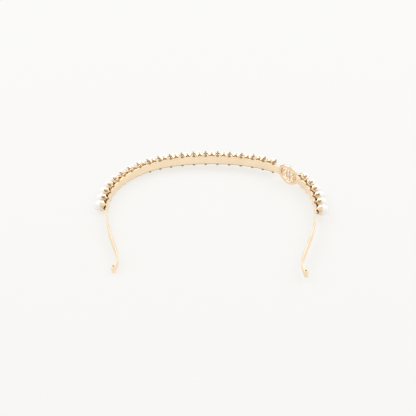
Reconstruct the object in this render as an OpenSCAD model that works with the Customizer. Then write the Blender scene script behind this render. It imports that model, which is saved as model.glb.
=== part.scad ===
// Pearl headband lying on its edge: one gilded metal solid, 25 pearls and 7 small cut crystals.
// Millimetres, Z up. The head space opens toward -Y, the middle of the row lies toward +Y.

/* [Band] */
// Width of the strip, across the head
band_w = 4.7; // [3.5:0.1:5.4]
// Thickness of the strip
band_t = 0.85; // [0.6:0.05:1.2]
// Radius of the middle stretch, on the inner face
crown_r = 79.3; // [70:0.5:90]
// Turn of the middle stretch on each side
crown_turn = 16.7; // [14:0.1:19]
// Radius of the shoulder stretch, on the inner face
shoulder_r = 45.9; // [42:0.1:50]
// Turn of the shoulder stretch
shoulder_turn = 63.5; // [60:0.5:66]
// Radius of the temple stretch, on the inner face
temple_r = 76.8; // [70:0.5:90]
// Turn of the temple stretch
temple_turn = 12.3; // [10:0.1:14]

/* [Legs] */
// Radius of the inward sweep behind the row
sweep_r = 136; // [120:1:180]
// Turn of the inward sweep
sweep_turn = 11.3; // [8:0.1:13]
// Length of the straight stretch
leg_l = 16.4; // [10:0.1:20]
// How far the strip's own middle lies to the right of the row's middle
strip_shift = 1.75; // [0:0.05:3]
// Radius of the outward flare, on the inner face
flare_r = 25.5; // [20:0.5:32]
// Turn of the outward flare
flare_turn = 22; // [15:0.1:28]
// Length of the tapered end
taper_l = 5; // [4:0.1:10]
// Width of the curled end
tip_w = 3.9; // [3:0.1:4.5]
// Thickness of the curled end
tip_t = 0.6; // [0.4:0.05:0.8]
// Inner radius of the curl
curl_r = 0.45; // [0.4:0.05:1.2]
// Turn of the curl
curl_turn = 285; // [180:5:300]

/* [Pearl row] */
// Distance between pearls along the row
pitch = 7; // [6.9:0.05:7.4]
// Pearl radius
pearl_r = 3; // [2.6:0.05:3.1]
// Height of the pearl centres over the inner face
pearl_lift = 4.7; // [4.6:0.05:5]
// Clearance between a pearl and its seat
seat_gap = 0.12; // [0.08:0.02:0.2]
// Collet radius at the strip
collet_foot_r = 2.15; // [2:0.05:2.2]
// Collet radius at the rim
collet_rim_r = 3.3; // [3.2:0.02:3.34]
// Height of the collet rim over the inner face
collet_rim_z = 3.8; // [3.5:0.05:4]
// Width of a window at its foot
window_w = 2.4; // [1.8:0.1:2.8]
// Height of a window's crown over the inner face
window_top = 2.45; // [2:0.05:2.6]

/* [Claws] */
// Radius of a claw
claw_r = 0.42; // [0.3:0.02:0.46]
// Distance from the middle of the strip to the claw's root
claw_root_h = 2.65; // [2.4:0.05:2.7]
// Distance from the middle of the strip to the claw's tip
claw_tip_h = 2.8; // [2.4:0.05:2.8]
// Height of the claw's tip over the inner face
claw_z = 4.3; // [3.8:0.1:5.2]
// Radius of the bead at a claw's root
claw_bead = 0.6; // [0.45:0.05:0.7]

/* [Medallion] */
// Half length of the oval frame
oval_a = 7.6; // [7.5:0.1:8]
// Half height of the oval frame
oval_b = 5.8; // [5.6:0.05:6.2]
// Radius of the frame's round section
oval_wire = 0.95; // [0.85:0.05:1]
// Outer radius of a petal
petal_r = 1.9; // [1.75:0.05:2]
// Radius of the hole in a petal
petal_hole_r = 0.95; // [0.8:0.05:1]
// Distance of the petals from the middle
petal_ring = 3.0; // [2.9:0.05:3.2]
// Radius of the middle crystal
crystal_r = 1.3; // [1:0.05:1.4]
// Radius of the small crystals
spark_r = 0.5; // [0.4:0.02:0.52]
// Distance of the small crystals from the middle
spark_ring = 4.7; // [4.6:0.05:4.75]
// Thickness of the rosette
rosette_t = 1.3; // [1:0.1:1.5]
// Height of the medallion's middle plane over the inner face
medal_z = 0.3; // [0.2:0.05:0.4]

/* [Rest] */
// Pitch of the band's plane, as it rests on the medallion
rest_pitch = 1.18; // [1:0.01:1.4]
// Roll of the band's plane
rest_roll = -1.01; // [-1.7:0.01:-0.9]
// Height of the band's middle line over the floor at the middle of the row
rest_lift = 5.36; // [5.2:0.01:6.1]
// Shift that puts the bounding box over the origin
rest_shift = 53.97; // [52:0.01:56]

/* [Hidden] */
$fn = 48;
row_turns = [crown_turn, shoulder_turn, temple_turn];
row_radii = [crown_r, shoulder_r, temple_r];
row_runs = [for (k = [0 : 2]) (row_radii[k] + pearl_lift) * row_turns[k] * PI / 180];
row_starts = [0, row_runs[0], row_runs[0] + row_runs[1]];
left_count = 13;
right_count = 5;
after_medal = 8.5;
stations = concat([for (i = [-left_count : right_count]) i], [for (i = [0 : 5]) after_medal + i]);
notches = concat([for (i = [-left_count : right_count]) i + 0.5], [for (i = [1 : 5]) after_medal + i - 0.5]);
medal_station = 7.25;
PEARLS = len(stations);
SPARKS = 6;
spark_turn = 18;
edge = 0.18;
// Each stretch of the strip is drawn this much finer than the one before it, from the crown to the flare
swell = 0.01;
// The taper reaches this far into the flare and into the curl
lap = 0.05;
claw_root_z = band_t / 2;
oval_d = (oval_a - oval_b) / (2 - sqrt(2));
oval_end_r = oval_a - oval_wire - oval_d;
oval_side_r = oval_b - oval_wire + oval_d;
seat_r = pearl_r + seat_gap;
cup_r = seat_r + 0.4;
wall = 0.45;
gold = [0.93, 0.79, 0.5];
cream = [0.97, 0.95, 0.91];
ice = [0.93, 0.96, 1];

// Degrees turned on run k of the row, s millimetres along the pearl line
function turned(s, k) = sign(s) * max(0, min(abs(s) - row_starts[k], row_runs[k]))
    / (row_radii[k] + pearl_lift) * 180 / PI;

// Where spark i sits on the medallion: three at each end
function spark_at(i) = let (side = i < 3 ? 1 : -1, a = (i % 3 - 1) * spark_turn)
    [side * spark_ring * cos(a), spark_ring * sin(a)];

// Moves its children from the middle of the row to a place on it; y points outward there
module on_row(s) {
    translate([0, -crown_r]) rotate(-turned(s, 0))
        translate([0, crown_r - shoulder_r]) rotate(-turned(s, 1))
            translate([0, shoulder_r - temple_r]) rotate(-turned(s, 2))
                translate([0, temple_r]) children();
}

// As on_row, with z pointing outward, for shapes made round an axis
module facing_out(s) {
    on_row(s) rotate([-90, 0, 0]) children();
}

module resting() {
    translate([0, rest_shift, rest_lift]) rotate([rest_pitch, rest_roll, 0]) children();
}

// Section of the strip, with its arrises broken; x runs through the thickness
module strip_section(w, t, proud = 0) {
    inner = -proud;
    outer = t + proud;
    half = w / 2 + proud;
    polygon([[inner + edge, -half], [outer - edge, -half], [outer, -half + edge], [outer, half - edge],
        [outer - edge, half], [inner + edge, half], [inner, half - edge], [inner, -half + edge]]);
}

// A stretch that turns toward the head, then its children at its end
module turn_in(r, turn, proud = 0) {
    translate([0, -r]) {
        rotate(90 - turn) rotate_extrude(angle = turn, $fn = 240)
            translate([r, 0]) strip_section(band_w, band_t, proud);
        rotate(-turn) translate([0, r]) children();
    }
}

// A stretch that turns away from the head, then its children at its end
module turn_out(r, turn, w, t, proud = 0) {
    translate([0, r]) {
        rotate(-90) rotate_extrude(angle = turn, $fn = 96)
            translate([r, 0]) mirror([1, 0]) strip_section(w, t, proud);
        rotate(turn) translate([0, -r]) children();
    }
}

module straight(l, proud = 0) {
    rotate([90, 0, 90]) linear_extrude(l) strip_section(band_w, band_t, proud);
    translate([l, 0]) children();
}

// The tapered end: a wedge in plan that narrows in height too
module taper(l) {
    intersection() {
        translate([0, 0, -band_w / 2]) linear_extrude(band_w)
            polygon([[-lap, 0], [l + lap, 0], [l + lap, tip_t], [-lap, band_t]]);
        rotate([90, 0, 0]) translate([0, 0, -band_t - 1]) linear_extrude(band_t + 2)
            polygon([[-lap, -band_w / 2], [l + lap, -tip_w / 2], [l + lap, tip_w / 2], [-lap, band_w / 2]]);
    }
    translate([l, 0]) children();
}

// The stretch over the crown, in one piece from one shoulder to the other
module crown_strip() {
    translate([0, -crown_r]) rotate(90 - crown_turn) rotate_extrude(angle = 2 * crown_turn, $fn = 240)
        translate([crown_r, 0]) strip_section(band_w, band_t, 2 * swell);
}

// From the crown's end down to the curled tip, with a leg of the given straight length
module side_strip(straight_l) {
    translate([0, -crown_r]) rotate(-crown_turn) translate([0, crown_r])
        turn_in(shoulder_r, shoulder_turn, swell)
            turn_in(temple_r, temple_turn)
                turn_in(sweep_r, sweep_turn, -swell)
                    straight(straight_l, -2 * swell)
                        turn_out(flare_r, flare_turn, band_w, band_t, -3 * swell)
                            taper(taper_l)
                                turn_out(curl_r + tip_t, curl_turn, tip_w, tip_t, -swell);
}

// Arched window of a collet, drawn with its foot on the strip
module window_shape() {
    crown = window_w / 4;
    polygon([[-window_w / 2, band_t], [window_w / 2, band_t],
        [crown, window_top - crown], [-crown, window_top - crown]]);
    translate([0, window_top - crown]) circle(crown);
}

// Round collet with a closed cup for the pearl and a window on each of its four sides
module collet() {
    foot = 0.4;
    lip = 0.35;
    slope = (collet_rim_r - collet_foot_r) / (collet_rim_z - lip - foot);
    difference() {
        union() {
            translate([0, 0, foot])
                cylinder(h = collet_rim_z - lip - foot, r1 = collet_foot_r, r2 = collet_rim_r);
            translate([0, 0, collet_rim_z - lip]) cylinder(h = lip, r = collet_rim_r);
        }
        translate([0, 0, pearl_lift]) sphere(seat_r);
        difference() {
            union() {
                translate([0, 0, band_t]) cylinder(h = window_top - band_t,
                    r1 = collet_foot_r + slope * (band_t - foot) - wall,
                    r2 = collet_foot_r + slope * (window_top - foot) - wall);
                for (a = [0, 90]) rotate([90, 0, a])
                    linear_extrude(2 * pitch, center = true) window_shape();
            }
            translate([0, 0, pearl_lift]) sphere(cup_r);
        }
    }
}

// Claw between two collets, on one edge of the strip: a bead at its root and a round tip
module claw() {
    lean = atan2(claw_tip_h - claw_root_h, claw_z - claw_root_z);
    translate([0, claw_root_h, claw_root_z]) sphere(claw_bead);
    translate([0, claw_root_h, claw_root_z]) rotate([-lean, 0, 0])
        cylinder(h = norm([claw_tip_h - claw_root_h, claw_z - claw_root_z]), r = claw_r);
    translate([0, claw_tip_h, claw_z]) sphere(claw_r);
}

// Filled oval of four arcs, with its rim at the middle of the frame's wire
module oval_plate() {
    x = oval_side_r * sin(45);
    intersection() {
        translate([0, -oval_d]) circle(oval_side_r, $fn = 120);
        translate([0, oval_d]) circle(oval_side_r, $fn = 120);
        square([2 * x, 3 * oval_b], center = true);
    }
    for (side = [-1, 1]) translate([side * oval_d, 0]) circle(oval_end_r, $fn = 96);
}

module wire_arc(r, from, turn, wire) {
    rotate(from) rotate_extrude(angle = turn, $fn = 96) translate([r, 0]) circle(wire);
}

// Oval of four arcs of round wire; the end arcs are a hair thicker and reach into the side arcs
module oval_frame() {
    reach = 0.6;
    for (side = [0, 180]) rotate(side) {
        translate([oval_d, 0]) wire_arc(oval_end_r, -45 - reach, 90 + 2 * reach, oval_wire);
        translate([0, -oval_d]) wire_arc(oval_side_r, 45, 90, oval_wire - swell);
    }
}

// Six ring petals round a middle ring, and three small rings at each end, all pierced
module rosette() {
    linear_extrude(rosette_t, center = true) difference() {
        union() {
            for (a = [30 : 60 : 330]) rotate(a) translate([petal_ring, 0]) circle(petal_r);
            circle(crystal_r + wall);
            for (i = [0 : SPARKS - 1]) translate(spark_at(i)) circle(spark_r + 0.7);
        }
        for (a = [30 : 60 : 330]) rotate(a) translate([petal_ring + 0.1, 0]) circle(petal_hole_r);
        circle(crystal_r + seat_gap);
        for (i = [0 : SPARKS - 1]) translate(spark_at(i)) circle(spark_r + seat_gap);
    }
}

// Cut crystal seen from both sides: table, crown, girdle and pavilion
module cut_crystal(r, facets) {
    color(ice) {
        translate([0, 0, 0.1 * r]) cylinder(h = 0.4 * r, r1 = r, r2 = 0.58 * r, $fn = facets);
        translate([0, 0, -0.05 * r]) cylinder(h = 0.15 * r, r = r, $fn = facets);
        translate([0, 0, -0.7 * r]) cylinder(h = 0.65 * r, r1 = 0.2 * r, r2 = r, $fn = facets);
    }
}

module gilt_band() {
    color(gold) resting() {
        difference() {
            union() {
                crown_strip();
                side_strip(leg_l + strip_shift);
                mirror([1, 0, 0]) side_strip(leg_l - strip_shift);
            }
            facing_out(medal_station * pitch) linear_extrude(12, center = true) oval_plate();
        }
        for (i = stations) facing_out(i * pitch) collet();
        for (i = notches) facing_out(i * pitch) {
            claw();
            mirror([0, 1, 0]) claw();
        }
        facing_out(medal_station * pitch) translate([0, 0, medal_z]) {
            oval_frame();
            rosette();
        }
    }
}

module pearl(i) {
    color(cream) resting() facing_out(stations[i - 1] * pitch)
        translate([0, 0, pearl_lift]) sphere(pearl_r);
}

// Crystal 1 is the rosette's middle, the others are its sparks
module crystal(i) {
    resting() facing_out(medal_station * pitch) translate([0, 0, medal_z]) {
        if (i == 1) cut_crystal(crystal_r, 12);
        else translate(spark_at(i - 2)) cut_crystal(spark_r, 8);
    }
}

gilt_band();
for (i = [1 : PEARLS]) pearl(i);
for (i = [1 : SPARKS + 1]) crystal(i);
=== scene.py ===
"""Pearl headband lying on its edge: gilded strip, collets, claws, medallion, pearls and crystals."""

import math
import random

import bmesh
import bpy
from mathutils import Matrix, Vector, noise


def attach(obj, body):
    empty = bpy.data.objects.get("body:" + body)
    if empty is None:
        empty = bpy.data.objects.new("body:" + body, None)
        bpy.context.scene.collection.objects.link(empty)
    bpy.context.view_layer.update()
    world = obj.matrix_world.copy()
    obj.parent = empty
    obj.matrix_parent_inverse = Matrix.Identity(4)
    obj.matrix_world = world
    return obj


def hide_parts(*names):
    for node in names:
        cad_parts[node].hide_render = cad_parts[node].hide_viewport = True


bl_info = {
    "name": "Pearl headband",
    "version": (1, 0, 0),
    "blender": (4, 5, 0),
    "location": "3D View > Sidebar > Headband",
    "description": "Builds a gilded headband with a row of pearls in arched collets",
    "category": "Add Mesh",
}

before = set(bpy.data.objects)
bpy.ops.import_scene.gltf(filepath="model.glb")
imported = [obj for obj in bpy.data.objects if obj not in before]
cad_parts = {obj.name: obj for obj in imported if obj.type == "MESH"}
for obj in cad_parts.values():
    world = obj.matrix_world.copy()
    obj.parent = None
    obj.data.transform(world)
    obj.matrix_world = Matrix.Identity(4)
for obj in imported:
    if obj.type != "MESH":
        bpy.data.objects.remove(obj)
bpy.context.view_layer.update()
MM = 0.001
BODY = "root"

# In the values below, lengths are in mm and angles in degrees, unless they say otherwise

# Stations of the pearls and of the claws between them, in pitches from the middle of the row
PEARL_STATIONS = [i for i in range(-13, 6)] + [8.5 + i for i in range(6)]
CLAW_STATIONS = [i + 0.5 for i in range(-13, 6)] + [8.0 + i for i in range(1, 6)]
MEDALLION_STATION = 7.25
# Beyond this station the claws' painted shade is left off part of each claw, where bright polished gold shows
SHADE_LIFTED_STATION = 6
# Stretches of the lower edge with a fine wire, and its place off the strip's inner face and middle
WIRED_EDGES = ((-12.5, 5.5), (9.0, 13.0))
EDGE_WIRE_RADIUS, EDGE_WIRE_OUT, EDGE_WIRE_DOWN = 0.2, 0.42, 2.5

# Turns of the strip from the middle outward: inner radius (0 is straight), turn or length, steps
ROW_RUNS = [(79.3, 16.7, 14), (45.9, 63.5, 44), (76.8, 12.3, 10)]
LEG_RUNS = [(136.0, 11.3, 12), (0.0, 16.4, 6), (-25.5, 22.0, 18)]
# The strip's own middle lies this far to the right of the row's
STRIP_SHIFT = 1.75
TAPER_LENGTH, TAPER_STEPS = 5.0, 6
# Width and thickness of the strip after the taper, as shares of the full ones
TIP_WIDTH, TIP_THICKNESS = 3.9 / 4.7, 0.6 / 0.85
CURL_RADIUS, CURL_TURN, CURL_STEPS = 1.05, 285, 44

# How the band lies on the floor: place along Y, height, and tilt about Y and about X
REST_Y, REST_Z, REST_ROLL, REST_PITCH = 53.97, 5.36, -1.01, 1.18

# The collet: where its cone begins, its wall, the gap between cup and pearl, and the cup's wall
CONE_FOOT, COLLET_WALL, SEAT_GAP, CUP_WALL = 0.4, 0.42, 0.12, 0.36

# The claw: its root from the strip's middle line, the height of its tip, and the lean of upper and lower ones
CLAW_ROOT, CLAW_TIP = Vector((0, 2.65, 0.425)), 3.55
UPPER_LEAN, LOWER_LEAN = 0.85, 0.15
# On those claws the painted shade is left off from this height over the root to half the claw's length
UPPER_UNSHADED_FROM, LOWER_UNSHADED_FROM = 0.6, -1.0
# Half outline of the spindle across a claw, as (radius, place along it)
SPINDLE = [
    (0, -1.1), (0.2, -1.0), (0.34, -0.66), (0.4, -0.28),
    (0.4, 0.28), (0.34, 0.66), (0.2, 1.0), (0, 1.1),
]

# The medallion: half axes and wire radius of its oval, and its height over the strip's inner face
OVAL_A, OVAL_B, OVAL_WIRE = 7.6, 5.8, 0.95
MEDALLION_LIFT = 0.3
# The strip is cut away this far to both sides of the medallion's middle; only faces within the reach count
CUT_HALF, CUT_REACH = 6.65, 16
# Petals: radius, wire radius, ring that they stand on. Grains between them: radius, ring, lift
PETAL_RADIUS, PETAL_WIRE, PETAL_RING = 1.02, 0.28, 2.75
GRAIN_RADIUS, GRAIN_RING, GRAIN_LIFT = 0.5, 2.35, 0.15
# Bezels round the middle crystal and the small ones: radius, wire radius
BEZEL_RADIUS, BEZEL_WIRE = 1.62, 0.22
SPARK_BEZEL_RADIUS, SPARK_BEZEL_WIRE = 0.72, 0.11
# Crystals: radius and sides. The small ones stand on a ring, a turn apart
STONE_RADIUS, STONE_SIDES = 1.3, 12
SPARK_RADIUS, SPARK_SIDES, SPARK_RING, SPARK_TURN = 0.5, 8, 4.7, 18

# The pearls: depth of the drilled pole, and their unevenness as a share of the radius and its span
DRILL_DEPTH, SWELL, SWELL_SPAN = 0.9, 0.004, 3.5

# The photograph's camera: focal length and picture width in pixels, direction, distance, aim and offset
FOCAL_PX, PICTURE_PX, SENSOR = 1847.0, 416, 36.0
CAMERA_ELEVATION, CAMERA_YAW, CAMERA_DISTANCE = 31.8, -0.411, 1000.0
CAMERA_TARGET, CAMERA_OFFSET = Vector((-1.807, -56.77, 3.0)), Vector((-0.27, 5.14, -2.79))


def linear(code):
    """sRGB hex to a linear colour."""
    channels = [int(code[i : i + 2], 16) / 255 for i in (0, 2, 4)]
    return [c / 12.92 if c <= 0.04045 else ((c + 0.055) / 1.055) ** 2.4 for c in channels]


class HeadbandSizes(bpy.types.PropertyGroup):
    """Sizes of the metalwork and the pearls."""

    band_width: bpy.props.FloatProperty(
        name="Strip width", description="Width of the gilded strip",
        default=4.7 * MM, unit="LENGTH",
    )
    band_thickness: bpy.props.FloatProperty(
        name="Strip thickness", description="Thickness of the gilded strip",
        default=0.85 * MM, unit="LENGTH",
    )
    pitch: bpy.props.FloatProperty(
        name="Pearl pitch", description="Distance between pearls along the row",
        default=7.0 * MM, unit="LENGTH",
    )
    pearl_radius: bpy.props.FloatProperty(
        name="Pearl radius", description="Radius of a pearl",
        default=3.0 * MM, unit="LENGTH",
    )
    pearl_lift: bpy.props.FloatProperty(
        name="Pearl height", description="Height of the pearl centres over the inner face",
        default=4.7 * MM, unit="LENGTH",
    )
    collet_foot: bpy.props.FloatProperty(
        name="Collet foot", description="Collet radius at the strip",
        default=2.3 * MM, unit="LENGTH",
    )
    collet_rim: bpy.props.FloatProperty(
        name="Collet rim", description="Collet radius at the rim",
        default=3.3 * MM, unit="LENGTH",
    )
    rim_height: bpy.props.FloatProperty(
        name="Rim height", description="Height of the collet rim over the inner face",
        default=3.8 * MM, unit="LENGTH",
    )
    window_width: bpy.props.FloatProperty(
        name="Window width", description="Width of a collet window at its foot",
        default=2.4 * MM, unit="LENGTH",
    )
    window_top: bpy.props.FloatProperty(
        name="Window top", description="Height of a window's crown over the inner face",
        default=2.3 * MM, unit="LENGTH",
    )
    claw_radius: bpy.props.FloatProperty(
        name="Claw radius", description="Radius of a claw",
        default=0.42 * MM, unit="LENGTH",
    )
    claw_bead: bpy.props.FloatProperty(
        name="Claw bead", description="Radius of the bead at a claw's root",
        default=0.64 * MM, unit="LENGTH",
    )


class HeadbandFinish(bpy.types.PropertyGroup):
    """Colours of the finishes."""

    gilt: bpy.props.FloatVectorProperty(
        name="Gilding", description="Colour of the pale gold plating",
        default=linear("FFE8C8"), subtype="COLOR",
    )
    # The recess colour is painted shade: gold darkened for the shade inside the collets
    recess: bpy.props.FloatVectorProperty(
        name="Recess", description="Colour of the gold inside the collets",
        default=linear("CBAA82"), subtype="COLOR",
    )
    # The claws' colour is painted shade: gold darkened for the shade between the collets
    claws: bpy.props.FloatVectorProperty(
        name="Claws", description="Colour of the gold on the claws",
        default=linear("AF8D5D"), subtype="COLOR",
    )
    nacre: bpy.props.FloatVectorProperty(
        name="Pearl", description="Colour of the pearl lacquer",
        default=linear("FDFCFA"), subtype="COLOR",
    )
    floor: bpy.props.FloatVectorProperty(
        name="Floor", description="Colour of the table",
        default=linear("D6E4F2"), subtype="COLOR",
    )


def sizes():
    """The sizes in use."""
    return bpy.context.scene.headband_sizes


def finish():
    """The colours in use."""
    return bpy.context.scene.headband_finish


# Placing

def rest_matrix():
    """The lying pose: from the band's own plane to the floor."""
    return (
        Matrix.Translation(Vector((0, REST_Y, REST_Z)) * MM)
        @ Matrix.Rotation(math.radians(REST_ROLL), 4, "Y")
        @ Matrix.Rotation(math.radians(REST_PITCH), 4, "X")
    )


def row_matrix(station):
    """Place on the row, in pitches from its middle: X along the row, Y outward, Z up."""
    s = station * sizes().pitch / MM
    lift = sizes().pearl_lift / MM
    place = Matrix.Identity(4)
    before, start = 0.0, 0.0
    for radius, turn, _ in ROW_RUNS:
        run = (radius + lift) * math.radians(turn)
        part = max(0.0, min(abs(s) - start, run))
        angle = -math.copysign(part / (radius + lift), s)
        place = place @ Matrix.Translation((0, (before - radius) * MM, 0)) @ Matrix.Rotation(angle, 4, "Z")
        before = radius
        start += run
    return place @ Matrix.Translation((0, before * MM, 0))


# Turns a form that stands on Z so that it points outward from the row
OUTWARD = Matrix.Rotation(math.radians(-90), 4, "X")


def make_piece(name, bm, finishes, stands_for, smooth_angle=40):
    """Places a finished mesh in the lying pose and hangs it on the frame."""
    bmesh.ops.transform(bm, matrix=rest_matrix(), verts=bm.verts)
    mesh = bpy.data.meshes.new(name)
    bm.to_mesh(mesh)
    bm.free()
    for maker in finishes:
        mesh.materials.append(material_of(maker))
    mesh.polygons.foreach_set("use_smooth", [True] * len(mesh.polygons))
    mesh.set_sharp_from_angle(angle=math.radians(smooth_angle))
    piece = bpy.data.objects.new(name, mesh)
    bpy.context.scene.collection.objects.link(piece)
    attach(piece, BODY)
    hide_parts(*stands_for)


def join(parts):
    """One bmesh out of several, in order."""
    whole = bmesh.new()
    for part in parts:
        mesh = bpy.data.meshes.new("part")
        part.to_mesh(mesh)
        part.free()
        whole.from_mesh(mesh)
        bpy.data.meshes.remove(mesh)
    return whole


def copies(source, places):
    """The same form set at each of the places."""
    whole = bmesh.new()
    mesh = bpy.data.meshes.new("form")
    source.to_mesh(mesh)
    source.free()
    for place in places:
        known = len(whole.verts)
        whole.from_mesh(mesh)
        whole.verts.ensure_lookup_table()
        bmesh.ops.transform(whole, matrix=place, verts=whole.verts[known:])
    bpy.data.meshes.remove(mesh)
    return whole


def turned(points, steps, material=0):
    """A closed form turned round Z from its half outline, given as (radius, height) in mm."""
    bm = bmesh.new()
    verts = [bm.verts.new((r * MM, 0, z * MM)) for r, z in points]
    edges = [bm.edges.new(pair) for pair in zip(verts, verts[1:])]
    bmesh.ops.spin(
        bm, geom=verts + edges, cent=(0, 0, 0), axis=(0, 0, 1), angle=math.tau, steps=steps, use_merge=True,
    )
    bmesh.ops.remove_doubles(bm, verts=bm.verts, dist=0.0005 * MM)
    bmesh.ops.recalc_face_normals(bm, faces=bm.faces)
    for face in bm.faces:
        face.material_index = material
    return bm


def arc(cx, cz, r, start, end, count):
    """Outline points of a circular arc, in mm, from start to end degrees."""
    angles = [math.radians(start + (end - start) * i / count) for i in range(count + 1)]
    return [(max(0.0, cx + r * math.cos(a)), cz + r * math.sin(a)) for a in angles]


# Finishes

def add(tree, kind, settings=None, links=None, stops=()):
    """One node with its settings, {socket: value or output} links and a ramp's (position, colour) stops."""
    node = tree.nodes.new(kind)
    for key, value in (settings or {}).items():
        setattr(node, key, value)
    for key, value in (links or {}).items():
        socket = node.inputs[key]
        if isinstance(value, bpy.types.NodeSocket):
            tree.links.new(value, socket)
        else:
            socket.default_value = value
    if stops:
        elements = node.color_ramp.elements
        while len(elements) < len(stops):
            elements.new(0.5)
        for element, (position, colour) in zip(elements, stops):
            element.position = position
            element.color = (*colour, 1.0)
    return node


def new_material(name):
    """An empty material and its node tree."""
    material = bpy.data.materials.new(name)
    material.use_nodes = True
    tree = material.node_tree
    tree.nodes.clear()
    return material, tree


def shade(colour, amount):
    """The colour, lighter or darker."""
    return [min(1.0, c * amount) for c in colour]


def satin_gilding():
    """Pale gold plating over a rolled brass strip: soft, with faint drawing lines along its length."""
    material, tree = new_material("gilded brass, satin")
    where = add(tree, "ShaderNodeTexCoord")
    # Drawing lines run along the strip: UV x is metres along it, y metres across it
    along = add(tree, "ShaderNodeMapping", links={
        "Vector": where.outputs["UV"], "Scale": (60.0, 9000.0, 1.0),
    })
    lines = add(tree, "ShaderNodeTexNoise", {"noise_dimensions": "2D"}, {
        "Vector": along.outputs["Vector"], "Scale": 1.0, "Detail": 3.0, "Roughness": 0.6,
    })
    # Cloudy patches of handling, about 9 mm across
    clouds = add(tree, "ShaderNodeTexNoise", links={
        "Vector": where.outputs["Object"], "Scale": 110.0, "Detail": 3.0, "Roughness": 0.55,
    })
    colour = add(tree, "ShaderNodeValToRGB", links={"Fac": clouds.outputs["Fac"]}, stops=[
        (0.3, shade(finish().gilt, 0.93)), (0.7, shade(finish().gilt, 1.03)),
    ])
    rough = add(tree, "ShaderNodeMapRange", links={
        "Value": clouds.outputs["Fac"], "From Min": 0.3, "From Max": 0.7, "To Min": 0.27, "To Max": 0.4,
    })
    bump = add(tree, "ShaderNodeBump", links={
        "Height": lines.outputs["Fac"], "Strength": 0.12, "Distance": 0.02 * MM,
    })
    shader = add(tree, "ShaderNodeBsdfPrincipled", links={
        "Base Color": colour.outputs["Color"], "Metallic": 1.0,
        "Roughness": rough.outputs["Result"], "Normal": bump.outputs["Normal"],
    })
    add(tree, "ShaderNodeOutputMaterial", links={"Surface": shader.outputs["BSDF"]})
    return material


def polished_gilding():
    """Pale gold plating on cast and polished settings: bright, with the soft unevenness of casting."""
    material, tree = new_material("gilded brass, polished")
    where = add(tree, "ShaderNodeTexCoord")
    # Cast skin, grains about 0.5 mm across
    skin = add(tree, "ShaderNodeTexNoise", links={
        "Vector": where.outputs["Object"], "Scale": 1900.0, "Detail": 2.0, "Roughness": 0.5,
    })
    # Patches of the polishing wheel, about 4 mm across
    patches = add(tree, "ShaderNodeTexNoise", links={
        "Vector": where.outputs["Object"], "Scale": 260.0, "Detail": 2.0, "Roughness": 0.5,
    })
    colour = add(tree, "ShaderNodeValToRGB", links={"Fac": patches.outputs["Fac"]}, stops=[
        (0.3, shade(finish().gilt, 0.86)), (0.7, shade(finish().gilt, 0.98)),
    ])
    rough = add(tree, "ShaderNodeMapRange", links={
        "Value": patches.outputs["Fac"], "From Min": 0.3, "From Max": 0.7, "To Min": 0.12, "To Max": 0.24,
    })
    bump = add(tree, "ShaderNodeBump", links={
        "Height": skin.outputs["Fac"], "Strength": 0.18, "Distance": 0.03 * MM,
    })
    shader = add(tree, "ShaderNodeBsdfPrincipled", links={
        "Base Color": colour.outputs["Color"], "Metallic": 1.0,
        "Roughness": rough.outputs["Result"], "Normal": bump.outputs["Normal"],
    })
    add(tree, "ShaderNodeOutputMaterial", links={"Surface": shader.outputs["BSDF"]})
    return material


def claw_shade_gilding():
    """The same plating on the claws, browner than the strip as painted shade of the gaps between the collets,
    and duller.
    """
    material, tree = new_material("gilded brass, claws")
    where = add(tree, "ShaderNodeTexCoord")
    # Cast skin, grains about 0.6 mm across
    skin = add(tree, "ShaderNodeTexNoise", links={
        "Vector": where.outputs["Object"], "Scale": 1600.0, "Detail": 2.0, "Roughness": 0.5,
    })
    # Painted shade: the claws' colour is a browner gold; the cast skin varies it a little
    colour = add(tree, "ShaderNodeValToRGB", links={"Fac": skin.outputs["Fac"]}, stops=[
        (0.3, shade(finish().claws, 0.85)), (0.7, shade(finish().claws, 1.1)),
    ])
    bump = add(tree, "ShaderNodeBump", links={
        "Height": skin.outputs["Fac"], "Strength": 0.15, "Distance": 0.03 * MM,
    })
    shader = add(tree, "ShaderNodeBsdfPrincipled", links={
        "Base Color": colour.outputs["Color"], "Metallic": 1.0,
        "Roughness": 0.46, "Normal": bump.outputs["Normal"],
    })
    add(tree, "ShaderNodeOutputMaterial", links={"Surface": shader.outputs["BSDF"]})
    return material


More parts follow.
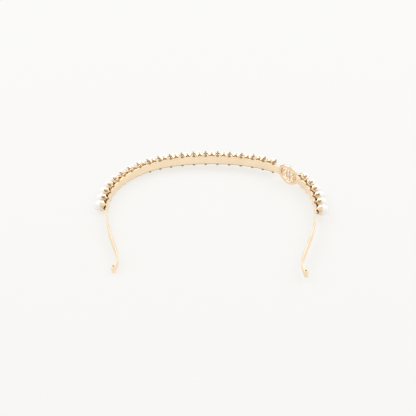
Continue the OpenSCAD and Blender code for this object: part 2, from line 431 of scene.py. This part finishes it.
def recess_shade_gilding():
    """Gold inside the collets: brown as painted shade of the hollows, matt and a little uneven."""
    material, tree = new_material("gilded brass, painted recess shade")
    where = add(tree, "ShaderNodeTexCoord")
    # Matt skin of the bath, grains about 0.7 mm across
    grains = add(tree, "ShaderNodeTexNoise", links={
        "Vector": where.outputs["Object"], "Scale": 1400.0, "Detail": 3.0, "Roughness": 0.6,
    })
    # Painted shade: the recess colour is a darker gold for the shade inside the collets, varied by the grains
    recess_shade_ramp = add(tree, "ShaderNodeValToRGB", links={"Fac": grains.outputs["Fac"]}, stops=[
        (0.3, shade(finish().recess, 0.75)), (0.7, shade(finish().recess, 1.12)),
    ])
    # Painted shade, deeper inside the steep end collets: from 50 mm off the middle the colour goes towards
    # near-black brown
    split = add(tree, "ShaderNodeSeparateXYZ", links={"Vector": where.outputs["Object"]})
    off = add(tree, "ShaderNodeMath", {"operation": "ABSOLUTE"}, {0: split.outputs["X"]})
    end_collet_shade = add(tree, "ShaderNodeMapRange", links={
        "Value": off.outputs["Value"], "From Min": 50 * MM, "From Max": 59 * MM,
        "To Min": 0.0, "To Max": 0.85,
    })
    # In a colour mix, socket 0 is the factor, 6 and 7 are the colours, and output 2 is the result
    colour = add(tree, "ShaderNodeMix", {"data_type": "RGBA"}, {
        0: end_collet_shade.outputs["Result"], 6: recess_shade_ramp.outputs["Color"], 7: (*linear("3A2412"), 1.0),
    })
    bump = add(tree, "ShaderNodeBump", links={
        "Height": grains.outputs["Fac"], "Strength": 0.35, "Distance": 0.05 * MM,
    })
    shader = add(tree, "ShaderNodeBsdfPrincipled", links={
        "Base Color": colour.outputs[2], "Metallic": 0.5, "Roughness": 0.6,
        "Specular IOR Level": 0.3, "Normal": bump.outputs["Normal"],
    })
    add(tree, "ShaderNodeOutputMaterial", links={"Surface": shader.outputs["BSDF"]})
    return material


def pearl_lacquer():
    """Glass pearl under fish-scale lacquer: milky body with painted shade towards its outline, a clear glossy
    skin and a faint rose blush.
    """
    material, tree = new_material("glass pearl, nacre lacquer")
    where = add(tree, "ShaderNodeTexCoord")
    # Faint cloudiness of the dipped lacquer, about 2 mm across
    milk = add(tree, "ShaderNodeTexNoise", links={
        "Vector": where.outputs["Object"], "Scale": 420.0, "Detail": 2.0, "Roughness": 0.5,
    })
    # Painted shade: the lacquer's colour darkens towards the pearl's outline, where its surface turns away
    # from the view
    facing = add(tree, "ShaderNodeLayerWeight", links={"Blend": 0.45})
    body = add(tree, "ShaderNodeValToRGB", links={"Fac": facing.outputs["Facing"]}, stops=[
        (0.0, finish().nacre), (0.45, linear("FBF6F2")), (0.75, linear("F3EEEA")), (1.0, linear("DDD9D6")),
    ])
    cloud = add(tree, "ShaderNodeMapRange", links={
        "Value": milk.outputs["Fac"], "From Min": 0.3, "From Max": 0.7, "To Min": 0.96, "To Max": 1.0,
    })
    colour = add(tree, "ShaderNodeMix", {"data_type": "RGBA", "blend_type": "MULTIPLY"}, {
        0: 1.0, 6: body.outputs["Color"], 7: cloud.outputs["Result"],
    })
    rough = add(tree, "ShaderNodeMapRange", links={
        "Value": milk.outputs["Fac"], "From Min": 0.3, "From Max": 0.7, "To Min": 0.2, "To Max": 0.3,
    })
    shader = add(tree, "ShaderNodeBsdfPrincipled", links={
        "Base Color": colour.outputs[2], "Roughness": rough.outputs["Result"], "IOR": 1.53,
        "Subsurface Weight": 0.15, "Subsurface Radius": (1.0, 0.8, 0.7), "Subsurface Scale": 0.6 * MM,
        "Coat Weight": 0.6, "Coat Roughness": 0.06, "Coat IOR": 1.5,
        "Sheen Weight": 0.15, "Sheen Roughness": 0.4, "Sheen Tint": (*linear("FBE9E4"), 1.0),
    })
    add(tree, "ShaderNodeOutputMaterial", links={"Surface": shader.outputs["BSDF"]})
    return material


def cut_glass():
    """Small cut crystals: clear lead glass, flat polished facets with the faintest cloud inside."""
    material, tree = new_material("cut crystal glass")
    where = add(tree, "ShaderNodeTexCoord")
    veil = add(tree, "ShaderNodeTexNoise", links={
        "Vector": where.outputs["Object"], "Scale": 900.0, "Detail": 2.0,
    })
    colour = add(tree, "ShaderNodeValToRGB", links={"Fac": veil.outputs["Fac"]}, stops=[
        (0.3, linear("EEF4FA")), (0.7, linear("FFFFFF")),
    ])
    shader = add(tree, "ShaderNodeBsdfPrincipled", links={
        "Base Color": colour.outputs["Color"], "Roughness": 0.03, "IOR": 1.58, "Transmission Weight": 0.9,
    })
    add(tree, "ShaderNodeOutputMaterial", links={"Surface": shader.outputs["BSDF"]})
    return material


def table_top():
    """Pale translucent table lit from below, as in catalogue studios: faint shadows and a trace of tooth."""
    material, tree = new_material("pale table")
    where = add(tree, "ShaderNodeTexCoord")
    tooth = add(tree, "ShaderNodeTexNoise", links={
        "Vector": where.outputs["Object"], "Scale": 900.0, "Detail": 2.0,
    })
    colour = add(tree, "ShaderNodeValToRGB", links={"Fac": tooth.outputs["Fac"]}, stops=[
        (0.2, shade(finish().floor, 0.22)), (0.8, shade(finish().floor, 0.23)),
    ])
    shader = add(tree, "ShaderNodeBsdfPrincipled", links={
        "Base Color": colour.outputs["Color"], "Roughness": 0.7, "Specular IOR Level": 0.0,
        "Emission Color": (*linear("FFFAF3"), 1.0), "Emission Strength": 0.76,
    })
    add(tree, "ShaderNodeOutputMaterial", links={"Surface": shader.outputs["BSDF"]})
    return material


# The finishes made so far, by the name of their function
MATERIALS = {}


def material_of(maker):
    """Each finish is made once."""
    if maker.__name__ not in MATERIALS:
        MATERIALS[maker.__name__] = maker()
    return MATERIALS[maker.__name__]


# The strip

def strip_profile(bm):
    """Closed loop of the strip's section at the middle of the row, with rounded arrises."""
    wide, thick = sizes().band_width, sizes().band_thickness
    bmesh.ops.create_grid(bm, x_segments=1, y_segments=1, size=0.5)
    bmesh.ops.scale(bm, vec=(thick, wide, 1), verts=bm.verts)
    bmesh.ops.bevel(
        bm, geom=bm.verts[:], affect="VERTICES", offset=0.24 * MM, segments=3, profile=0.5, material=-1,
    )
    bmesh.ops.rotate(bm, cent=(0, 0, 0), matrix=Matrix.Rotation(math.radians(90), 3, "X"), verts=bm.verts)
    bmesh.ops.rotate(bm, cent=(0, 0, 0), matrix=Matrix.Rotation(math.radians(90), 3, "Z"), verts=bm.verts)
    bmesh.ops.translate(bm, vec=(0, thick / 2, 0), verts=bm.verts)
    bmesh.ops.delete(bm, geom=bm.faces[:], context="FACES_ONLY")
    return bm.verts[:] + bm.edges[:]


def verts_of(geom):
    """The vertices among some geometry."""
    return [g for g in geom if isinstance(g, bmesh.types.BMVert)]


def edges_of(geom):
    """The edges among some geometry."""
    return [g for g in geom if isinstance(g, bmesh.types.BMEdge)]


def in_order(found):
    """Each element once, in the order of finding: a set's order would change from run to run."""
    return list(dict.fromkeys(found))


def half_strip(longer):
    """Right half of the strip, its leg that much longer, grown from the middle with the distance along it."""
    bm = bmesh.new()
    along = bm.verts.layers.float.new("along")
    geom = strip_profile(bm)
    place, gone = Matrix.Identity(4), 0.0

    def step(radius, angle, length):
        """One short turn or push of the open end."""
        nonlocal geom, place, gone
        if radius:
            axis = (0, 0, -math.copysign(1, radius))
            centre = place @ Vector((0, -radius, 0))
            geom = bmesh.ops.spin(
                bm, geom=geom, cent=centre, axis=axis, angle=angle, steps=1, use_merge=False,
            )["geom_last"]
            turn = Matrix.Rotation(-math.copysign(angle, radius), 4, "Z")
            place = place @ Matrix.Translation((0, -radius, 0)) @ turn @ Matrix.Translation((0, radius, 0))
        else:
            made = bmesh.ops.extrude_edge_only(bm, edges=edges_of(geom))
            geom = [g for g in made["geom"] if not isinstance(g, bmesh.types.BMFace)]
            bmesh.ops.translate(bm, vec=place.to_3x3() @ Vector((length, 0, 0)), verts=verts_of(geom))
            place = place @ Matrix.Translation((length, 0, 0))
        gone += length
        for vert in verts_of(geom):
            vert[along] = gone

    for radius, amount, steps in ROW_RUNS + LEG_RUNS:
        for _ in range(steps):
            if radius:
                angle = math.radians(amount) / steps
                step(radius * MM, angle, abs(radius) * MM * angle)
            else:
                step(0, 0, (amount + longer) * MM / steps)
    # The taper draws the open end in about the inner face, step by step
    high, thick = 1.0, 1.0
    for i in range(1, TAPER_STEPS + 1):
        step(0, 0, TAPER_LENGTH * MM / TAPER_STEPS)
        want_high = 1 + (TIP_WIDTH - 1) * i / TAPER_STEPS
        want_thick = 1 + (TIP_THICKNESS - 1) * i / TAPER_STEPS
        draw = (1, want_thick / thick, want_high / high)
        bmesh.ops.scale(bm, vec=draw, space=place.inverted(), verts=verts_of(geom))
        high, thick = want_high, want_thick
    for _ in range(CURL_STEPS):
        angle = math.radians(CURL_TURN) / CURL_STEPS
        step(-CURL_RADIUS * MM, angle, CURL_RADIUS * MM * angle)
    bmesh.ops.edgeloop_fill(bm, edges=edges_of(geom))
    return bm


def cut_for_medallion(bm):
    """Takes the stretch of strip inside the medallion's frame away and closes both cut ends."""
    place = row_matrix(MEDALLION_STATION)
    to_medallion = place.inverted()
    half, reach = CUT_HALF * MM, CUT_REACH * MM
    for side in (-1, 1):
        near = [f for f in bm.faces if (to_medallion @ f.calc_center_median()).length < reach]
        verts = in_order(v for f in near for v in f.verts)
        edges = in_order(e for f in near for e in f.edges)
        bmesh.ops.bisect_plane(
            bm, geom=verts + edges + near, dist=0.0001 * MM,
            plane_co=place @ Vector((side * half, 0, 0)), plane_no=place.to_3x3() @ Vector((side, 0, 0)),
        )
    middles = [(f, to_medallion @ f.calc_center_median()) for f in bm.faces]
    inside = [f for f, middle in middles if abs(middle.x) < half and middle.length < reach]
    bmesh.ops.delete(bm, geom=inside, context="FACES")
    bmesh.ops.holes_fill(bm, edges=[e for e in bm.edges if e.is_boundary], sides=0)


class HEADBAND_OT_strip(bpy.types.Operator):
    """Sweep the gilded strip with its legs and curled tips"""

    bl_idname = "headband.strip"
    bl_label = "Strip and legs"

    def execute(self, context):
        left = half_strip(-STRIP_SHIFT)
        along = left.verts.layers.float["along"]
        bmesh.ops.scale(left, vec=(-1, 1, 1), verts=left.verts)
        for vert in left.verts:
            vert[along] = -vert[along]
        bm = join([half_strip(STRIP_SHIFT), left])
        along = bm.verts.layers.float["along"]
        bmesh.ops.remove_doubles(bm, verts=bm.verts, dist=0.0005 * MM)
        cut_for_medallion(bm)
        bmesh.ops.recalc_face_normals(bm, faces=bm.faces)
        uv = bm.loops.layers.uv.new("along")
        for face in bm.faces:
            for loop in face.loops:
                loop[uv].uv = (loop.vert[along], loop.vert.co.z)
        make_piece("band_strip", bm, [satin_gilding], ["gilt_band"])
        return {"FINISHED"}


# The collets and claws

def collet_radius(height):
    """Outer radius of the collet at a height over the inner face."""
    foot, top = CONE_FOOT * MM, sizes().rim_height - 0.35 * MM
    t = max(0.0, min(1.0, (height - foot) / (top - foot)))
    return sizes().collet_foot + (sizes().collet_rim - sizes().collet_foot) * t


def collet_wall():
    """Pierced wall: a sheet with four arches, rolled into a cone and thickened inward."""
    # Columns in each quarter of the sheet, rows of it, and columns from a quarter's end to the window's jamb
    quarter, rows, jamb = 14, 7, 3
    columns, middle = quarter * 4, quarter / 2
    bm = bmesh.new()
    bmesh.ops.create_grid(bm, x_segments=columns, y_segments=rows, size=0.5)
    grid = {v: (round((v.co.x + 0.5) * columns), round((v.co.y + 0.5) * rows)) for v in bm.verts}
    # Heights of the rows: below the sill, up the window's sides, then solid to the rim
    foot, top = CONE_FOOT * MM, sizes().rim_height - 0.2 * MM
    sill, crown = sizes().band_thickness - 0.05 * MM, sizes().window_top
    sides = [sill + share * (crown - sill) for share in (0, 0.35, 0.7)]
    heights = [foot] + sides + [crown + share * (top - crown) for share in (0, 0.4, 0.75)] + [top]
    # Half width of the opening at each of its rows, as a share of the window's width
    opening = {1: 0.74, 2: 0.64, 3: 0.42, 4: 0.1}
    gone = []
    for face in bm.faces:
        column = min(grid[v][0] for v in face.verts) % quarter
        row = min(grid[v][1] for v in face.verts)
        if 1 <= row <= 3 and jamb <= column < quarter - jamb:
            gone.append(face)
    bmesh.ops.delete(bm, geom=gone, context="FACES")
    for vert in bm.verts:
        i, j = grid[vert]
        radius = collet_radius(heights[j])
        if j in opening:
            # The jambs follow the arch, and the columns beyond them spread to the quarter's ends
            reach = opening[j] * sizes().window_width / radius
            local = i % quarter
            share = (local - middle) / (middle - jamb)
            if abs(share) <= 1.0:
                swing = share * reach
            else:
                t = (abs(local - middle) - (middle - jamb)) / jamb
                swing = math.copysign(reach * (1 - t) + math.tau / 8 * t, share)
            angle = math.tau * (i - local) / columns + swing
        else:
            angle = math.tau * (i - middle) / columns
        vert.co = (radius * math.cos(angle), radius * math.sin(angle), heights[j])
    bmesh.ops.remove_doubles(bm, verts=bm.verts, dist=0.002 * MM)
    bmesh.ops.recalc_face_normals(bm, faces=bm.faces)
    if sum(f.normal.xy.dot(f.calc_center_median().xy) for f in bm.faces) < 0:
        bmesh.ops.reverse_faces(bm, faces=bm.faces)
    bmesh.ops.solidify(bm, geom=bm.faces[:], thickness=COLLET_WALL * MM)
    # The wall's inner side is the recess, whose finish is painted shade
    for face in bm.faces:
        centre = face.calc_center_median()
        if centre.xy.length < collet_radius(centre.z) - 0.3 * MM:
            face.material_index = 1
    bmesh.ops.recalc_face_normals(bm, faces=bm.faces)
    sharp = [e for e in bm.edges if len(e.link_faces) == 2 and e.calc_face_angle() > math.radians(50)]
    bmesh.ops.bevel(bm, geom=sharp, affect="EDGES", offset=0.06 * MM, segments=2, profile=0.5, material=-1)
    return bm


def collet_cup():
    """Closed cup under the pearl, and the two rounded beads of its rim."""
    seat, lift = sizes().pearl_radius / MM + SEAT_GAP, sizes().pearl_lift / MM
    rim, height = sizes().collet_rim / MM, sizes().rim_height / MM
    # Where the cup ends, just under the rim, in degrees from the pearl's middle
    lip = math.degrees(math.asin((height - 0.12 - lift) / seat))
    inside = arc(0, lift, seat, -90, lip, 16)
    outside = arc(0, lift, seat + CUP_WALL, lip - 4, -90, 14)
    # The cup takes the recess finish, painted shade for its hollow
    cup = turned(inside + outside, 40, 1)
    bead = turned(arc(rim - 0.17, height - 0.2, 0.2, 0, 360, 10), 48)
    lower_bead = turned(arc(rim - 0.14, height - 0.62, 0.12, 0, 360, 8), 48)
    return join([cup, bead, lower_bead])


def claw_form(lean, unshaded_from=None):
    """One cast claw: root bead, round stem with a domed tip, and a short spindle across it.

    lean is how far the tip stands off, the other argument the height from which the claw's painted shade
    gives way to bright polished gold, both in mm.
    """
    radius = sizes().claw_radius / MM
    # The stem is a little finer than the solid's rod, so that the spindle stands out from it
    stem = radius * 0.86
    rise = CLAW_TIP - CLAW_ROOT.z
    length = math.hypot(lean, rise)
    foot = arc(0, 0, sizes().claw_bead / MM, -90, 48, 9)
    tip = arc(0, length + radius - stem, stem, 0, 90, 5)
    bm = turned(foot + [(stem, 0.9), (stem, length * 0.5)] + tip, 18)
    # Faces in the lifted stretch take slot 1, polished gilding; the rest keep the claws' painted shade
    for face in bm.faces:
        if unshaded_from is not None and unshaded_from * MM < face.calc_center_median().z < length * 0.5 * MM:
            face.material_index = 1
    # The bead is wider along the row
    bmesh.ops.scale(bm, vec=(1.25, 1, 1), verts=[v for v in bm.verts if v.co.z < 0.75 * MM])
    # The spindle lies along the row, a little above the middle of the stem
    spindle = turned(SPINDLE, 12)
    across = Matrix.Translation((0, 0, length * 0.6 * MM)) @ Matrix.Rotation(math.radians(90), 4, "Y")
    bmesh.ops.transform(spindle, matrix=across, verts=spindle.verts)
    bm = join([bm, spindle])
    place = Matrix.Translation(CLAW_ROOT * MM) @ Matrix.Rotation(-math.atan2(lean, rise), 4, "X")
    bmesh.ops.transform(bm, matrix=place, verts=bm.verts)
    return bm


def edge_wire(start, end):
    """Fine wire soldered along the strip's lower edge between two stations of the row, in the claws' painted
    shade.
    """
    bm = bmesh.new()
    steps = max(2, round(abs(end - start) * 6))
    middle = Matrix.Translation(Vector((0, EDGE_WIRE_OUT, -EDGE_WIRE_DOWN)) * MM)
    across = middle @ Matrix.Rotation(math.radians(90), 4, "Y")
    loops = []
    for i in range(steps + 1):
        made = bmesh.ops.create_circle(bm, cap_ends=False, segments=10, radius=EDGE_WIRE_RADIUS * MM)
        place = row_matrix(start + (end - start) * i / steps) @ across
        bmesh.ops.transform(bm, matrix=place, verts=made["verts"])
        loops.append(in_order(e for v in made["verts"] for e in v.link_edges))
    for near, far in zip(loops, loops[1:]):
        bmesh.ops.bridge_loops(bm, edges=near + far)
    for loop in (loops[0], loops[-1]):
        bmesh.ops.edgeloop_fill(bm, edges=loop)
    bmesh.ops.recalc_face_normals(bm, faces=bm.faces)
    return bm


class HEADBAND_OT_collets(bpy.types.Operator):
    """Set a pierced collet with its cup under each pearl"""

    bl_idname = "headband.collets"
    bl_label = "Collets"

    def execute(self, context):
        form = join([collet_wall(), collet_cup()])
        bm = copies(form, [row_matrix(s) @ OUTWARD for s in PEARL_STATIONS])
        make_piece("collets", bm, [polished_gilding, recess_shade_gilding], ["gilt_band"])
        return {"FINISHED"}


class HEADBAND_OT_claws(bpy.types.Operator):
    """Stand a claw on both edges of the strip between the collets"""

    bl_idname = "headband.claws"
    bl_label = "Claws"

    def execute(self, context):
        groups = []
        # Claws past the station have their painted shade left off part of the stem
        for lift_claw_shade in (False, True):
            places = [row_matrix(s) @ OUTWARD for s in CLAW_STATIONS if (abs(s) > SHADE_LIFTED_STATION) == lift_claw_shade]
            # The band's upper edge is on the collets' own -Y side
            upper = claw_form(UPPER_LEAN, UPPER_UNSHADED_FROM if lift_claw_shade else None)
            bmesh.ops.scale(upper, vec=(1, -1, 1), verts=upper.verts)
            bmesh.ops.reverse_faces(upper, faces=upper.faces)
            lower = claw_form(LOWER_LEAN, LOWER_UNSHADED_FROM if lift_claw_shade else None)
            groups.append(copies(join([upper, lower]), places))
        make_piece("claws", join(groups), [claw_shade_gilding, polished_gilding], ["gilt_band"])
        bm = join([edge_wire(start, end) for start, end in WIRED_EDGES])
        make_piece("edge_wire", bm, [claw_shade_gilding], ["gilt_band"])
        return {"FINISHED"}


# The medallion

def medallion_matrix():
    """The medallion's place: its length along the row, its face outward."""
    return row_matrix(MEDALLION_STATION) @ OUTWARD @ Matrix.Translation((0, 0, MEDALLION_LIFT * MM))


def on_ring(radius, degrees):
    """A point of a ring round the medallion's middle."""
    return radius * math.cos(math.radians(degrees)), radius * math.sin(math.radians(degrees))


def spark_places():
    """Three small crystals at each end of the medallion."""
    right = [on_ring(SPARK_RING, SPARK_TURN * k) for k in (-1, 0, 1)]
    return right + [(-x, y) for x, y in right]


def oval_frame():
    """Thick round wire bent to an oval of four arcs."""
    shift = (OVAL_A - OVAL_B) / (2 - math.sqrt(2))
    corner = Matrix.Rotation(math.radians(-45), 3, "Z")
    start = Vector((shift, 0, 0)) + corner @ Vector((OVAL_A - OVAL_WIRE - shift, 0, 0))
    bm = bmesh.new()
    bmesh.ops.create_circle(bm, cap_ends=False, segments=24, radius=OVAL_WIRE * MM)
    bmesh.ops.rotate(bm, cent=(0, 0, 0), matrix=Matrix.Rotation(math.radians(90), 3, "X"), verts=bm.verts)
    bmesh.ops.rotate(bm, cent=(0, 0, 0), matrix=corner, verts=bm.verts)
    bmesh.ops.translate(bm, vec=start * MM, verts=bm.verts)
    geom = bm.verts[:] + bm.edges[:]
    quarter = math.radians(90)
    for x, y, steps in ((shift, 0, 16), (0, -shift, 22), (-shift, 0, 16), (0, shift, 22)):
        geom = bmesh.ops.spin(
            bm, geom=geom, cent=(x * MM, y * MM, 0), axis=(0, 0, 1), angle=quarter,
            steps=steps, use_merge=False,
        )["geom_last"]
    bmesh.ops.remove_doubles(bm, verts=bm.verts, dist=0.002 * MM)
    bmesh.ops.recalc_face_normals(bm, faces=bm.faces)
    return bm


def wire_ring(radius, wire, squash, x=0, y=0, steps=28):
    """Small ring of wire in the medallion's plane; squash is the wire's height over its width."""
    angles = [math.tau * i / 12 for i in range(13)]
    bm = turned([(radius + wire * math.cos(a), wire * squash * math.sin(a)) for a in angles], steps)
    bmesh.ops.translate(bm, vec=Vector((x, y, 0)) * MM, verts=bm.verts)
    return bm


def rosette():
    """Six ring petals round a bezel, granules between them, and three small bezels at each end."""
    parts = []
    for k in range(6):
        parts.append(wire_ring(PETAL_RADIUS, PETAL_WIRE, 2.1, *on_ring(PETAL_RING, 30 + 60 * k)))
        grain = turned(arc(0, 0, GRAIN_RADIUS, -90, 90, 10), 16)
        place = Vector((*on_ring(GRAIN_RING, 60 * k), GRAIN_LIFT)) * MM
        bmesh.ops.translate(grain, vec=place, verts=grain.verts)
        parts.append(grain)
    parts.append(wire_ring(BEZEL_RADIUS, BEZEL_WIRE, 3.0, steps=36))
    for place in spark_places():
        parts.append(wire_ring(SPARK_BEZEL_RADIUS, SPARK_BEZEL_WIRE, 5.5, *place, steps=24))
    return join(parts)


class HEADBAND_OT_medallion(bpy.types.Operator):
    """Build the openwork medallion's frame and rosette"""

    bl_idname = "headband.medallion"
    bl_label = "Medallion"

    def execute(self, context):
        for name, bm in (("medallion_frame", oval_frame()), ("medallion_rosette", rosette())):
            bmesh.ops.transform(bm, matrix=medallion_matrix(), verts=bm.verts)
            make_piece(name, bm, [polished_gilding], ["gilt_band"], 60)
        return {"FINISHED"}


def cut_stone(radius, sides):
    """Brilliant seen from both faces: table, crown, girdle, pavilion and a small culet."""
    bm = bmesh.new()
    # Each ring's radius and height, as shares of the stone's radius, and its turn, as a share of a side
    rings = [
        (0.62, 0.5, 0.0), (0.86, 0.34, 0.5), (1.0, 0.1, 0.0),
        (1.0, -0.03, 0.0), (0.55, -0.42, 0.5), (0.2, -0.7, 0.0),
    ]
    loops = []
    for scale, height, shift in rings:
        made = bmesh.ops.create_circle(bm, cap_ends=False, segments=sides, radius=radius * scale * MM)
        turn = Matrix.Rotation(math.tau / sides * shift, 3, "Z")
        bmesh.ops.rotate(bm, cent=(0, 0, 0), matrix=turn, verts=made["verts"])
        bmesh.ops.translate(bm, vec=(0, 0, radius * height * MM), verts=made["verts"])
        loops.append(in_order(e for v in made["verts"] for e in v.link_edges))
    for upper, lower in zip(loops, loops[1:]):
        bmesh.ops.bridge_loops(bm, edges=upper + lower)
    bmesh.ops.edgeloop_fill(bm, edges=loops[0])
    bmesh.ops.edgeloop_fill(bm, edges=loops[-1])
    bmesh.ops.triangulate(bm, faces=[f for f in bm.faces if len(f.verts) == 4])
    bmesh.ops.recalc_face_normals(bm, faces=bm.faces)
    return bm


class HEADBAND_OT_crystals(bpy.types.Operator):
    """Cut the medallion's crystals"""

    bl_idname = "headband.crystals"
    bl_label = "Crystals"

    def execute(self, context):
        stones = [(0, 0, STONE_RADIUS, STONE_SIDES)]
        stones += [(x, y, SPARK_RADIUS, SPARK_SIDES) for x, y in spark_places()]
        for i, (x, y, radius, sides) in enumerate(stones):
            bm = cut_stone(radius, sides)
            place = medallion_matrix() @ Matrix.Translation(Vector((x, y, 0)) * MM)
            bmesh.ops.transform(bm, matrix=place, verts=bm.verts)
            name = f"crystal_{i + 1:02d}"
            make_piece(name + "_cut", bm, [cut_glass], [name], 5)
        return {"FINISHED"}


# The pearls

class HEADBAND_OT_pearls(bpy.types.Operator):
    """Seat a half-drilled pearl in each collet"""

    bl_idname = "headband.pearls"
    bl_label = "Pearls"

    def execute(self, context):
        random.seed(12)
        radius = sizes().pearl_radius
        for i, station in enumerate(PEARL_STATIONS):
            bm = bmesh.new()
            bmesh.ops.create_uvsphere(bm, u_segments=56, v_segments=36, radius=radius)
            # Half-drilled from the cup's side, as glued pearls are
            pole = [v for v in bm.verts if v.co.z < -radius * 0.999]
            bmesh.ops.translate(bm, vec=(0, 0, DRILL_DEPTH * MM), verts=pole)
            # Each pearl has its own stretch of the noise
            spread = Vector([random.uniform(-9, 9) for _ in range(3)])
            for vert in bm.verts:
                swell = noise.noise(vert.co / (SWELL_SPAN * MM) + spread)
                vert.co *= 1 + SWELL * swell - SWELL / 2
            turn = Matrix.Rotation(random.uniform(0, math.tau), 4, "Z")
            place = row_matrix(station) @ OUTWARD @ Matrix.Translation((0, 0, sizes().pearl_lift)) @ turn
            bmesh.ops.transform(bm, matrix=place, verts=bm.verts)
            name = f"pearl_{i + 1:02d}"
            make_piece(name + "_nacre", bm, [pearl_lacquer], [name], 60)
        return {"FINISHED"}


# The stage

def area_light(name, place, size, energy, colour):
    """Square soft box aimed at the middle of the table; place and size in metres."""
    data = bpy.data.lights.new(name, "AREA")
    data.shape = "RECTANGLE"
    data.size = data.size_y = size
    data.energy = energy
    data.color = linear(colour)
    lamp = bpy.data.objects.new(name, data)
    lamp.location = place
    lamp.rotation_euler = (-Vector(place)).to_track_quat("-Z", "Y").to_euler()
    bpy.context.scene.collection.objects.link(lamp)


def camera_matrix():
    """The photograph's camera in the band's own plane: one metre off, 32 degrees above it."""
    elevation = math.radians(CAMERA_ELEVATION)
    back = Vector((0, -math.cos(elevation), math.sin(elevation)))
    turn = Matrix.Rotation(math.radians(-CAMERA_YAW), 4, "Z")
    place = turn @ (CAMERA_TARGET + back * CAMERA_DISTANCE) + CAMERA_OFFSET
    look = (turn.to_3x3() @ -back).to_track_quat("-Z", "Y").to_matrix().to_4x4()
    return rest_matrix() @ Matrix.Translation(place * MM) @ look


class HEADBAND_OT_stage(bpy.types.Operator):
    """Lay the pale table, the soft light and the camera"""

    bl_idname = "headband.stage"
    bl_label = "Stage"

    def execute(self, context):
        scene = context.scene
        scene.view_settings.view_transform = "Standard"
        bm = bmesh.new()
        bmesh.ops.create_grid(bm, x_segments=8, y_segments=8, size=4.0)
        mesh = bpy.data.meshes.new("table")
        bm.to_mesh(mesh)
        bm.free()
        mesh.materials.append(material_of(table_top))
        table = bpy.data.objects.new("table", mesh)
        scene.collection.objects.link(table)

        world = bpy.data.worlds.new("studio")
        world.use_nodes = True
        tree = world.node_tree
        tree.nodes.clear()
        where = add(tree, "ShaderNodeTexCoord")
        split = add(tree, "ShaderNodeSeparateXYZ", links={"Vector": where.outputs["Generated"]})
        sky = add(tree, "ShaderNodeValToRGB", links={"Fac": split.outputs["Z"]}, stops=[
            (0.0, linear("F0EEEC")), (0.3, linear("F8F7F6")), (1.0, linear("FFFFFF")),
        ])
        glow = add(tree, "ShaderNodeBackground", links={"Color": sky.outputs["Color"], "Strength": 0.93})
        add(tree, "ShaderNodeOutputWorld", links={"Surface": glow.outputs["Background"]})
        scene.world = world

        area_light("soft_box_left", (-0.55, 0.4, 0.7), 0.6, 2.6, "FFFCF8")
        area_light("soft_box_right", (0.55, 0.45, 0.7), 0.6, 2.6, "FFFAF6")

        data = bpy.data.cameras.new("camera")
        data.sensor_width = SENSOR
        data.lens = FOCAL_PX / PICTURE_PX * SENSOR
        data.clip_start, data.clip_end = 0.01, 20.0
        camera = bpy.data.objects.new("camera", data)
        camera.matrix_world = camera_matrix()
        scene.collection.objects.link(camera)
        scene.camera = camera
        return {"FINISHED"}


OPERATORS = (
    HEADBAND_OT_strip,
    HEADBAND_OT_collets,
    HEADBAND_OT_claws,
    HEADBAND_OT_medallion,
    HEADBAND_OT_crystals,
    HEADBAND_OT_pearls,
    HEADBAND_OT_stage,
)


class HEADBAND_PT_pieces(bpy.types.Panel):
    """Lists the pieces in the sidebar"""

    bl_idname = "HEADBAND_PT_pieces"
    bl_label = "Pearl headband"
    bl_space_type = "VIEW_3D"
    bl_region_type = "UI"
    bl_category = "Headband"

    def draw(self, context):
        for operator in OPERATORS:
            self.layout.operator(operator.bl_idname)


CLASSES = (HeadbandSizes, HeadbandFinish) + OPERATORS + (HEADBAND_PT_pieces,)


def register():
    for cls in CLASSES:
        bpy.utils.register_class(cls)
    bpy.types.Scene.headband_sizes = bpy.props.PointerProperty(type=HeadbandSizes)
    bpy.types.Scene.headband_finish = bpy.props.PointerProperty(type=HeadbandFinish)


def unregister():
    del bpy.types.Scene.headband_finish
    del bpy.types.Scene.headband_sizes
    for cls in reversed(CLASSES):
        bpy.utils.unregister_class(cls)


def main():
    register()
    for operator in OPERATORS:
        group, name = operator.bl_idname.split(".")
        getattr(getattr(bpy.ops, group), name)()


if __name__ == "__main__":
    main()
